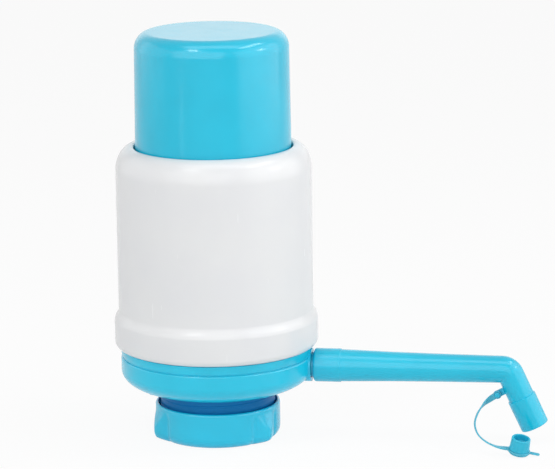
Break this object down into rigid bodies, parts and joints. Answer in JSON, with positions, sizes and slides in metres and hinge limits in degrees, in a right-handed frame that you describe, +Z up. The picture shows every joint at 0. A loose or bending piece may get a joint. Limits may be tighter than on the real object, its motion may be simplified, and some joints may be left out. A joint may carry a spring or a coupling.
{
  "type": "hand pump",
  "caption": "Hand pump for a large water bottle: round press cap over a bellows in a shell, coloured base with a lobed clamp ring, side spout and strapped dust plug.",
  "frame": {"origin": "under the middle of the bounding box, on the plane that the clamp ring's foot stands on", "axes": "+Z up along the pump's axis, +X the way the spout leaves the base, -Y the side that the dust plug lies on"},
  "size_m": [0.2356, 0.1104, 0.2233],
  "materials": {
    "press_cap": "glossy moulded cyan plastic",
    "body_shell": "glossy moulded white plastic",
    "bellows": "blown soft plastic, natural",
    "bellows_retainer": "moulded white plastic",
    "bellows_seal": "flat black rubber washer",
    "pump_deck": "moulded cyan plastic",
    "deck_screw": "plated steel",
    "intake_valve": "clear silicone",
    "delivery_valve": "clear silicone",
    "base_bowl": "glossy moulded cyan plastic",
    "water_elbow": "moulded white plastic",
    "elbow_seal": "black rubber ring",
    "tube_connector": "moulded white plastic",
    "neck_gasket": "clear silicone washer",
    "neck_collet": "moulded white plastic",
    "clamp_ring": "glossy moulded cyan plastic",
    "spout": "glossy moulded cyan plastic",
    "spout_oring": "black rubber ring",
    "plug_strap": "soft moulded cyan band",
    "dust_plug": "moulded cyan plastic"
  },
  "bodies": {
    "base": {"base_bowl": "base_bowl", "body_shell": "body_shell", "pump_deck": "pump_deck", "bellows": "bellows", "bellows_retainer": "bellows_retainer", "bellows_seal": "bellows_seal", "deck_screw_1": "deck_screw", "deck_screw_2": "deck_screw", "deck_screw_3": "deck_screw", "deck_screw_4": "deck_screw", "water_elbow": "water_elbow", "elbow_seal": "elbow_seal", "tube_connector": "tube_connector", "neck_gasket": "neck_gasket"},
    "press_cap": {"press_cap": "press_cap"},
    "intake_valve": {"intake_valve": "intake_valve"},
    "delivery_valve": {"delivery_valve": "delivery_valve"},
    "neck_collet": {"neck_collet": "neck_collet"},
    "clamp_ring": {"clamp_ring": "clamp_ring"},
    "spout": {"spout": "spout", "spout_oring_1": "spout_oring", "spout_oring_2": "spout_oring"},
    "plug_and_strap": {"plug_strap": "plug_strap", "dust_plug": "dust_plug"}
  },
  "joints": [
    {"name": "cap_press", "type": "slide", "parent": "base", "child": "press_cap", "axis": [0, 0, -1], "range_m": [0, 0.048], "stiffness_N_per_m": 300, "springref_m": -0.01, "deforming": ["bellows"]},
    {"name": "intake_valve_open", "type": "slide", "parent": "press_cap", "child": "intake_valve", "axis": [0, 0, -1], "range_m": [0, 0.0012], "stiffness_N_per_m": 20, "springref_m": -0.0005},
    {"name": "delivery_valve_open", "type": "slide", "parent": "base", "child": "delivery_valve", "axis": [0, 0, -1], "range_m": [0, 0.0012], "stiffness_N_per_m": 20, "springref_m": -0.0005},
    {"name": "collet_lift", "type": "slide", "parent": "base", "child": "neck_collet", "axis": [0, 0, 1], "range_m": [0, 0.004]},
    {"name": "ring_turn", "type": "hinge", "parent": "neck_collet", "child": "clamp_ring", "pos_m": [-0.06255, 0, 0], "axis": [0, 0, 1], "range_deg": [0, 360]},
    {"name": "spout_swivel", "type": "hinge", "parent": "base", "child": "spout", "pos_m": [-0.01015, 0, 0.0402], "axis": [1, 0, 0], "continuous": true},
    {"name": "strap_swing", "type": "hinge", "parent": "spout", "child": "plug_and_strap", "pos_m": [0.09072, -0.0016, 0.02639], "axis": [0, 1, 0], "range_deg": [-60, 60]}
  ],
  "couplings": [
    {"joint": "ring_turn", "follows": "collet_lift", "rad_per_m": 1570.8}
  ]
}
